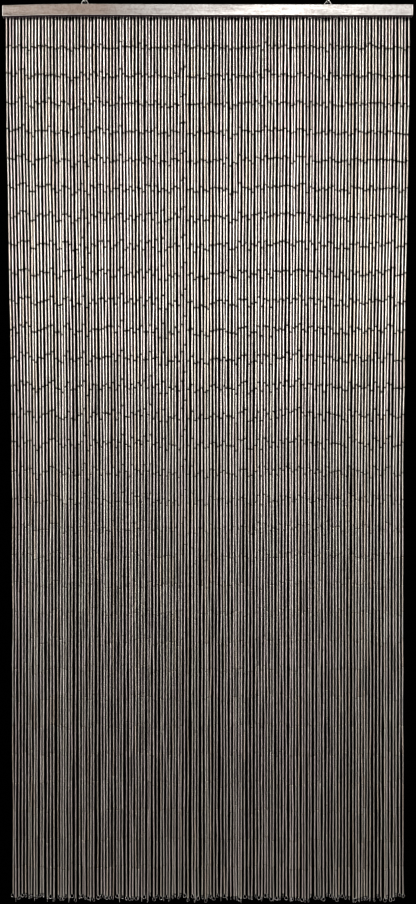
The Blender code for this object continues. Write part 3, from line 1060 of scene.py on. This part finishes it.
def make_bar(bar_top, material):
    """The wooden bar with eased edges and the slight warp of a long thin batten."""
    shape = bmesh.new()
    bmesh.ops.create_cube(shape, size=1.0)
    bmesh.ops.scale(shape, vec=(BAR_LENGTH, BAR_DEPTH, BAR_HEIGHT), verts=shape.verts)
    rounding = {"offset": BAR_EDGE, "segments": BAR_EDGE_STEPS, "profile": 0.5, "affect": "EDGES"}
    bmesh.ops.bevel(shape, geom=shape.edges[:], **rounding)
    for x in np.linspace(-0.5, 0.5, BAR_STATIONS + 1)[1:-1] * BAR_LENGTH:
        everything = shape.verts[:] + shape.edges[:] + shape.faces[:]
        bmesh.ops.bisect_plane(shape, geom=everything, plane_co=(x, 0.0, 0.0), plane_no=(1.0, 0.0, 0.0))
    mesh = bpy.data.meshes.new("bar")
    shape.to_mesh(mesh)
    shape.free()
    points = np.array([vertex.co for vertex in mesh.vertices])
    rise = points[:, 2] / (BAR_HEIGHT / 2.0)
    reach = 1.0 - (BAR_LENGTH / 2.0 - np.abs(points[:, 0])) / (BAR_HEIGHT / 2.0)
    marks = {"rise": np.abs(rise), "reach": np.maximum(1.1 * reach, 0.0), "under": rise < -0.999}
    for label, numbers in marks.items():
        layer = mesh.attributes.new(label, "FLOAT", "POINT")
        layer.data.foreach_set("value", numbers.astype(float))
    warp = np.interp(points[:, 0], [row["x"] for row in BAR_WARP], [row["lift"] for row in BAR_WARP])
    points[:, 2] += bar_top - BAR_HEIGHT / 2.0 + warp
    mesh.vertices.foreach_set("co", points.ravel())
    mesh.materials.append(material)
    return hand_in(link("lacquered_bar", mesh), "header_bar")


# Studio


def make_floor():
    """A pale floor under the curtain."""
    made, tree, shader = finish("pale_floor", Roughness=0.85)
    cloudy = noise(tree, object_place(tree), 3.0, 2.0)
    tree.links.new(blend(tree, cloudy, *FLOOR_TONES), shader.inputs["Base Color"])
    mesh = bpy.data.meshes.new("floor")
    near, far = FLOOR_DEPTH
    left, right = -FLOOR_HALF_WIDTH, FLOOR_HALF_WIDTH
    corners = [(x, y, FLOOR_LEVEL) for x, y in ((left, near), (right, near), (right, far), (left, far))]
    mesh.from_pydata(corners, [], [(0, 1, 2, 3)])
    mesh.materials.append(made)
    link("floor", mesh)


def soft_light(name, place, target, size, power):
    """An oblong area light that faces a point and isn't seen itself."""
    lamp = bpy.data.lights.new(name, "AREA")
    lamp.shape = "RECTANGLE"
    lamp.size, lamp.size_y = size
    lamp.energy = power
    lamp.color = WARM_WHITE
    made = link(name, lamp)
    made.location = place
    made.rotation_euler = (Vector(target) - Vector(place)).to_track_quat("-Z", "Y").to_euler()
    made.visible_camera = False


def make_lights():
    """Soft front lights that are dimmed towards the floor, and weaker lights at the sides and behind."""
    for number, row in enumerate(FRONT_LIGHTS, 1):
        place = (row["x"], -FRONT_LIGHT_AWAY, row["z"])
        size = (row["wide"], FRONT_LIGHT_HIGH)
        soft_light(f"front_{number}", place, (row["x"], 0.0, row["z"]), size, row["power"])
    for name, side in (("left", -1.0), ("right", 1.0)):
        row = SIDE_LIGHT
        place = (side * row["x"], row["y"], row["z"])
        soft_light(f"{name}_side", place, (0.0, 0.0, row["aim"]), row["size"], row["power"])
    for name, side in (("left", -1.0), ("right", 1.0)):
        x = side * BACK_LIGHT_X
        for row in BACK_LIGHTS:
            target = (x, 0.0, row["aim"])
            place = (x, BACK_LIGHT_AWAY, row["z"])
            soft_light(f"behind_{name}_{row['name']}", place, target, row["size"], row["power"])


def make_room():
    """A dark room, as in the photograph."""
    world = bpy.data.worlds.new("dark_room")
    world.use_nodes = True
    backdrop = world.node_tree.nodes["Background"]
    backdrop.inputs["Color"].default_value = (0.0, 0.0, 0.0, 1.0)
    bpy.context.scene.world = world
    bpy.context.scene.view_settings.view_transform = "Standard"
    bpy.context.scene.view_settings.look = "High Contrast"


def make_camera(bar_top):
    """A camera straight in front of the curtain's middle."""
    camera = bpy.data.cameras.new("camera")
    camera.lens = CAMERA_LENS
    camera.sensor_width = SENSOR
    seat = link("camera", camera)
    seat.location = (CAMERA_ASIDE, -CAMERA_AWAY, bar_top - CAMERA_BELOW_BAR)
    seat.rotation_euler = (math.pi / 2.0, 0.0, 0.0)
    bpy.context.scene.camera = seat


def main():
    bar_top = -HOOK_HEIGHT - hook_rise(LOOPS[0])
    grain, wear = long_grain_group(), worn_rim_group()
    lacquer = bamboo_lacquer(grain, wear)
    link_steel, hanger_steel, ring_steel = (drawn_wire(name) for name in STEELS)
    make_bar(bar_top, bar_lacquer(grain, wear))
    wire = bent_wire_tree()
    make_strings(bar_top - BAR_HEIGHT, lacquer, link_steel, ring_steel, wire)
    for row in LOOPS:
        make_loop(row, bar_top, wire, hanger_steel)
        make_hook(row, bar_top, wire, hanger_steel)
    make_floor()
    make_lights()
    make_room()
    make_camera(bar_top)


main()
